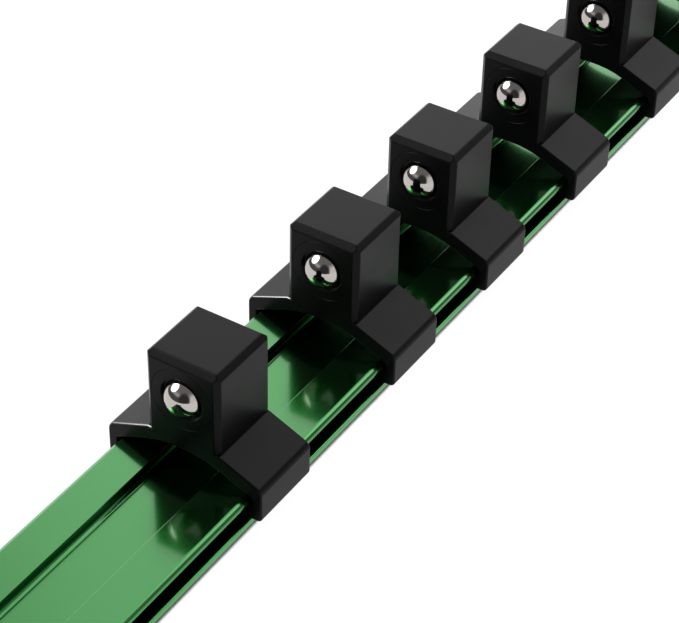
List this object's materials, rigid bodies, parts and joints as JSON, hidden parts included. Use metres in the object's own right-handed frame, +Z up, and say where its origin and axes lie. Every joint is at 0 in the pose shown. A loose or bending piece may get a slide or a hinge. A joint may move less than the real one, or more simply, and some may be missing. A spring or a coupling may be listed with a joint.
{
  "type": "socket rail",
  "caption": "Socket storage rail: a green anodised extrusion with black sliding clips, each a square drive post with a sprung steel ball, closed by push-in end caps.",
  "frame": {"origin": "under the middle of the rail, on the plane the rail stands on", "axes": "+X along the rail, away from the end that the balls face; +Z up along the drive posts; +Y across the rail"},
  "size_m": [0.3066, 0.0272, 0.0253],
  "materials": {
    "green_anodised": "glossy green anodised",
    "black_plastic": "satin moulded plastic",
    "chromed_steel": "polished ball",
    "spring_steel": "drawn wire"
  },
  "bodies": {
    "rail": {"rail_extrusion": "green_anodised", "end_cap_far": "black_plastic", "end_cap_near": "black_plastic"},
    "clip_1": {"clip_1_body": "black_plastic", "clip_1_retainer": "black_plastic", "clip_1_spring": "spring_steel"},
    "ball_1": {"clip_1_ball": "chromed_steel"},
    "clip_2": {"clip_2_body": "black_plastic", "clip_2_retainer": "black_plastic", "clip_2_spring": "spring_steel"},
    "ball_2": {"clip_2_ball": "chromed_steel"},
    "clip_3": {"clip_3_body": "black_plastic", "clip_3_retainer": "black_plastic", "clip_3_spring": "spring_steel"},
    "ball_3": {"clip_3_ball": "chromed_steel"},
    "clip_4": {"clip_4_body": "black_plastic", "clip_4_retainer": "black_plastic", "clip_4_spring": "spring_steel"},
    "ball_4": {"clip_4_ball": "chromed_steel"},
    "clip_5": {"clip_5_body": "black_plastic", "clip_5_retainer": "black_plastic", "clip_5_spring": "spring_steel"},
    "ball_5": {"clip_5_ball": "chromed_steel"},
    "clip_6": {"clip_6_body": "black_plastic", "clip_6_retainer": "black_plastic", "clip_6_spring": "spring_steel"},
    "ball_6": {"clip_6_ball": "chromed_steel"},
    "clip_7": {"clip_7_body": "black_plastic", "clip_7_retainer": "black_plastic", "clip_7_spring": "spring_steel"},
    "ball_7": {"clip_7_ball": "chromed_steel"},
    "clip_8": {"clip_8_body": "black_plastic", "clip_8_retainer": "black_plastic", "clip_8_spring": "spring_steel"},
    "ball_8": {"clip_8_ball": "chromed_steel"}
  },
  "joints": [
    {"name": "clip_1_slide", "type": "slide", "parent": "rail", "child": "clip_1", "axis": [1, 0, 0], "range_m": [-0.0569, 0.02107]},
    {"name": "ball_1_press", "type": "slide", "parent": "clip_1", "child": "ball_1", "axis": [1, 0, 0], "range_m": [0, 0.0019], "stiffness_N_per_m": 1500, "springref_m": -0.0012, "deforming": ["clip_1_spring"]},
    {"name": "clip_2_slide", "type": "slide", "parent": "rail", "child": "clip_2", "axis": [1, 0, 0], "range_m": [-0.02107, 0.01368]},
    {"name": "ball_2_press", "type": "slide", "parent": "clip_2", "child": "ball_2", "axis": [1, 0, 0], "range_m": [0, 0.0019], "stiffness_N_per_m": 1500, "springref_m": -0.0012, "deforming": ["clip_2_spring"]},
    {"name": "clip_3_slide", "type": "slide", "parent": "rail", "child": "clip_3", "axis": [1, 0, 0], "range_m": [-0.01368, 0.0155]},
    {"name": "ball_3_press", "type": "slide", "parent": "clip_3", "child": "ball_3", "axis": [1, 0, 0], "range_m": [0, 0.0019], "stiffness_N_per_m": 1500, "springref_m": -0.0012, "deforming": ["clip_3_spring"]},
    {"name": "clip_4_slide", "type": "slide", "parent": "rail", "child": "clip_4", "axis": [1, 0, 0], "range_m": [-0.0155, 0.01594]},
    {"name": "ball_4_press", "type": "slide", "parent": "clip_4", "child": "ball_4", "axis": [1, 0, 0], "range_m": [0, 0.0019], "stiffness_N_per_m": 1500, "springref_m": -0.0012, "deforming": ["clip_4_spring"]},
    {"name": "clip_5_slide", "type": "slide", "parent": "rail", "child": "clip_5", "axis": [1, 0, 0], "range_m": [-0.01594, 0.01449]},
    {"name": "ball_5_press", "type": "slide", "parent": "clip_5", "child": "ball_5", "axis": [1, 0, 0], "range_m": [0, 0.0019], "stiffness_N_per_m": 1500, "springref_m": -0.0012, "deforming": ["clip_5_spring"]},
    {"name": "clip_6_slide", "type": "slide", "parent": "rail", "child": "clip_6", "axis": [1, 0, 0], "range_m": [-0.01449, 0.01428]},
    {"name": "ball_6_press", "type": "slide", "parent": "clip_6", "child": "ball_6", "axis": [1, 0, 0], "range_m": [0, 0.0019], "stiffness_N_per_m": 1500, "springref_m": -0.0012, "deforming": ["clip_6_spring"]},
    {"name": "clip_7_slide", "type": "slide", "parent": "rail", "child": "clip_7", "axis": [1, 0, 0], "range_m": [-0.01428, 0.01427]},
    {"name": "ball_7_press", "type": "slide", "parent": "clip_7", "child": "ball_7", "axis": [1, 0, 0], "range_m": [0, 0.0019], "stiffness_N_per_m": 1500, "springref_m": -0.0012, "deforming": ["clip_7_spring"]},
    {"name": "clip_8_slide", "type": "slide", "parent": "rail", "child": "clip_8", "axis": [1, 0, 0], "range_m": [-0.01427, 0.0064]},
    {"name": "ball_8_press", "type": "slide", "parent": "clip_8", "child": "ball_8", "axis": [1, 0, 0], "range_m": [0, 0.0019], "stiffness_N_per_m": 1500, "springref_m": -0.0012, "deforming": ["clip_8_spring"]}
  ]
}
